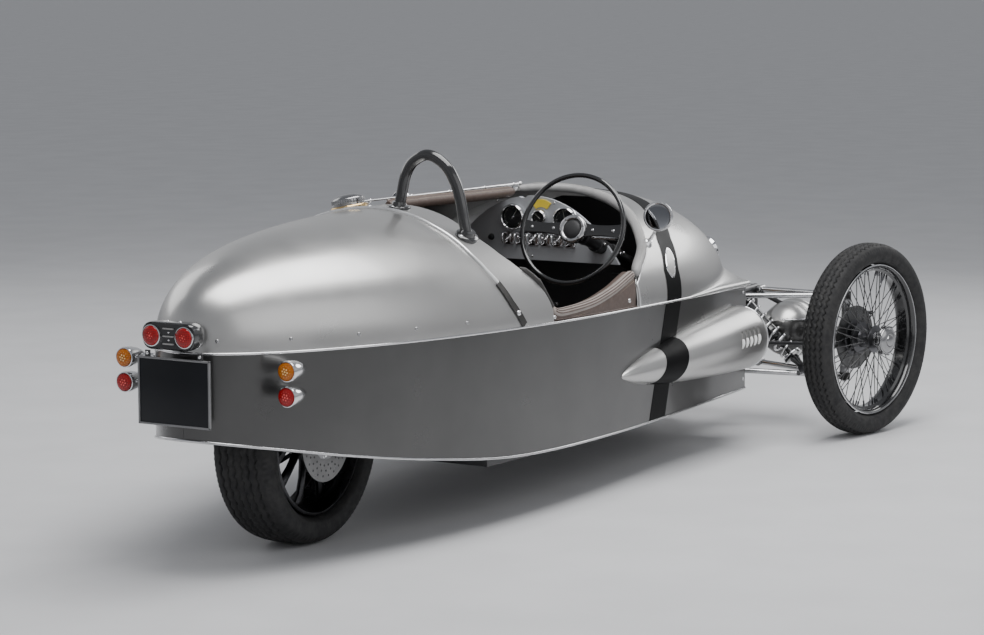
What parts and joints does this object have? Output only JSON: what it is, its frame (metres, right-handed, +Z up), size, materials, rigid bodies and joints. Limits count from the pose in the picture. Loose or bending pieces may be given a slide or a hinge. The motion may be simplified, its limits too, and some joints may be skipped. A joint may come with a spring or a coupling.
{
  "type": "three wheeled car",
  "caption": "Open boat-tailed three wheeled car with steered wire wheels in front, one driven wheel behind and side nacelles.",
  "frame": {"origin": "on the ground under the middle of the bounding box", "axes": "+X forward, +Y left, +Z up"},
  "size_m": [3.3949, 1.7794, 1.081],
  "materials": {
    "body_silver": "satin metallic",
    "body_lower": "satin metallic",
    "black_paint": "satin",
    "gloss_black": "gloss",
    "black_plastic": "matte",
    "brass_fins": "polished",
    "polished_steel": "polished",
    "cast_alloy": "cast",
    "dash_paint": "satin",
    "chrome": "polished",
    "leather_brown": "grained",
    "lens_red": "gloss",
    "lens_amber": "gloss",
    "lamp_glass": "clear",
    "mirror_glass": "polished",
    "tyre_rubber": "matte",
    "leather_grey": "grained"
  },
  "bodies": {
    "chassis": {"rear_deck": "body_silver", "cockpit_surround": "body_silver", "passenger_cover": "body_silver", "bonnet": "body_silver", "side_panel_right": "body_lower", "side_panel_left": "body_lower", "floor_pan": "black_paint", "bulkheads": "black_paint", "wheel_liner": "black_plastic", "nose_cone": "body_silver", "nose_fins": "brass_fins", "front_frame": "black_paint", "suspension_arms": "polished_steel", "front_dampers": "polished_steel", "rack_housing": "cast_alloy", "steering_column": "black_paint", "dashboard": "dash_paint", "gauges_and_switches": "chrome", "elbow_pad": "leather_brown", "coaming_roll": "leather_brown", "cover_rail": "chrome", "seat_cushions": "leather_brown", "seat_backs": "leather_brown", "roll_hoop": "gloss_black", "filler_cap": "chrome", "mirrors": "chrome", "number_plate": "gloss_black", "tail_lamp_pod": "gloss_black", "tail_lenses": "lens_red", "side_lamps": "chrome", "nacelles": "body_silver", "headlamps": "body_silver", "headlamp_glasses": "lamp_glass", "rear_dampers": "polished_steel", "swing_arm": "black_paint", "drive_motor": "cast_alloy", "battery_pack": "black_plastic"},
    "rear_wheel": {"rear_tyre": "tyre_rubber", "rear_rim": "cast_alloy", "rear_hub": "polished_steel"},
    "right_knuckle": {"knuckle_right": "cast_alloy"},
    "left_knuckle": {"knuckle_left": "cast_alloy"},
    "right_wheel": {"front_hub_right": "chrome", "front_rim_right": "gloss_black", "front_tyre_right": "tyre_rubber"},
    "left_wheel": {"front_hub_left": "chrome", "front_rim_left": "gloss_black", "front_tyre_left": "tyre_rubber"},
    "right_tie_rod": {"tie_rod_right": "polished_steel"},
    "left_tie_rod": {"tie_rod_left": "polished_steel"},
    "rack": {"steering_rack": "black_paint"},
    "steering": {"steering_wheel": "gloss_black"}
  },
  "joints": [
    {"name": "rear_wheel_spin", "type": "hinge", "parent": "chassis", "child": "rear_wheel", "pos_m": [-1.0684, 0, 0.3035], "axis": [0, 1, 0], "continuous": true},
    {"name": "steering_wheel_turn", "type": "hinge", "parent": "chassis", "child": "steering", "pos_m": [0.1366, -0.246, 0.789], "axis": [-0.9397, 0, 0.342], "range_deg": [-180, 540]},
    {"name": "right_knuckle_steer", "type": "hinge", "parent": "chassis", "child": "right_knuckle", "pos_m": [1.3516, -0.69, 0.331], "axis": [0, 0, 1], "range_deg": [-12.7, 37.9]},
    {"name": "right_wheel_spin", "type": "hinge", "parent": "right_knuckle", "child": "right_wheel", "pos_m": [1.33284, -0.77393, 0.331], "axis": [0.2181, 0.9759, 0], "continuous": true},
    {"name": "right_tie_rod_pivot", "type": "hinge", "parent": "right_knuckle", "child": "right_tie_rod", "pos_m": [1.19494, -0.63449, 0.32], "axis": [0, 0, 1], "range_deg": [-42, 15]},
    {"name": "left_knuckle_steer", "type": "hinge", "parent": "chassis", "child": "left_knuckle", "pos_m": [1.3516, 0.69, 0.331], "axis": [0, 0, 1], "range_deg": [-12.7, 37.9]},
    {"name": "left_wheel_spin", "type": "hinge", "parent": "left_knuckle", "child": "left_wheel", "pos_m": [1.37036, 0.77393, 0.331], "axis": [0.2181, 0.9759, 0], "continuous": true},
    {"name": "left_tie_rod_pivot", "type": "hinge", "parent": "left_knuckle", "child": "left_tie_rod", "pos_m": [1.18621, 0.70648, 0.32], "axis": [0, 0, 1], "range_deg": [-42, 15]},
    {"name": "rack_slide", "type": "slide", "parent": "chassis", "child": "rack", "axis": [0, 1, 0], "range_m": [-0.112, 0.038]}
  ],
  "couplings": [
    {"joint": "right_knuckle_steer", "follows": "steering_wheel_turn", "ratio": 0.07},
    {"joint": "right_tie_rod_pivot", "follows": "steering_wheel_turn", "ratio": -0.0735},
    {"joint": "left_knuckle_steer", "follows": "steering_wheel_turn", "ratio": 0.07},
    {"joint": "left_tie_rod_pivot", "follows": "steering_wheel_turn", "ratio": -0.0735},
    {"joint": "rack_slide", "follows": "steering_wheel_turn", "m_per_rad": -0.01155}
  ]
}
